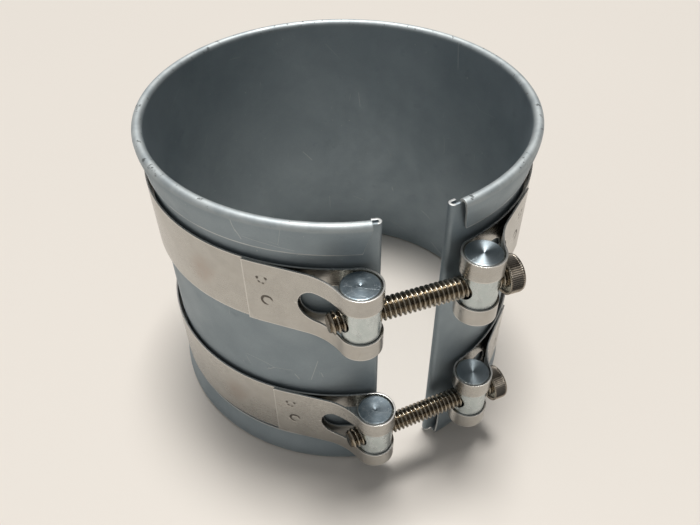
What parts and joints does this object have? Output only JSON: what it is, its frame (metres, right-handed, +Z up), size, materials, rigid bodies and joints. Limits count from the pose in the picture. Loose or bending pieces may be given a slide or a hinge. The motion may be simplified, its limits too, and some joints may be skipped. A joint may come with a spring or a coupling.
{
  "type": "pipe coupling",
  "caption": "Split sheet sleeve with hemmed rims, held by looped strap bands that cap screws draw together through round trunnions.",
  "frame": {"origin": "centre of the part's box, on the plane of the lower rim that it stands on", "axes": "+Z up along the pipe's axis, -Y towards the gap and the screws, +X towards the screw heads"},
  "size_m": [0.094, 0.1016, 0.0775],
  "materials": {
    "coated_sheet": "smooth blue-grey sheet, half matt, with faint scratches",
    "strap_steel": "rolled stainless strip with soft streaks and smudges",
    "turned_steel": "turned rod, bright, with fine concentric marks on the ends",
    "screw_steel": "rolled thread, warm grey, bright on the crests"
  },
  "bodies": {
    "ring": {"sleeve": "coated_sheet", "band_upper": "strap_steel", "band_lower": "strap_steel", "plain_trunnion_upper": "turned_steel", "plain_trunnion_lower": "turned_steel"},
    "upper_screw": {"cap_screw_upper": "screw_steel"},
    "lower_screw": {"cap_screw_lower": "screw_steel"},
    "upper_trunnion": {"threaded_trunnion_upper": "turned_steel"},
    "lower_trunnion": {"threaded_trunnion_lower": "turned_steel"}
  },
  "joints": [
    {"name": "upper_trunnion_travel", "type": "slide", "parent": "ring", "child": "upper_trunnion", "axis": [1, 0, 0], "range_m": [-0.0021, 0.01269], "deforming": ["sleeve", "band_upper"]},
    {"name": "lower_trunnion_travel", "type": "slide", "parent": "ring", "child": "lower_trunnion", "axis": [0.9976, 0.0698, 0], "range_m": [-0.0021, 0.01269], "deforming": ["band_lower"]},
    {"name": "upper_screw_turn", "type": "hinge", "parent": "ring", "child": "upper_screw", "pos_m": [0, -0.04509, 0.0581], "axis": [-1, 0, 0], "range_deg": [-720, 4320]},
    {"name": "lower_screw_turn", "type": "hinge", "parent": "ring", "child": "lower_screw", "pos_m": [0.01647, -0.04406, 0.0177], "axis": [-0.9976, -0.0698, 0], "range_deg": [-720, 4320]}
  ],
  "couplings": [
    {"joint": "lower_trunnion_travel", "follows": "upper_trunnion_travel", "ratio": 1},
    {"joint": "upper_screw_turn", "follows": "upper_trunnion_travel", "rad_per_m": 5936.9},
    {"joint": "lower_screw_turn", "follows": "upper_trunnion_travel", "rad_per_m": 5936.9}
  ]
}
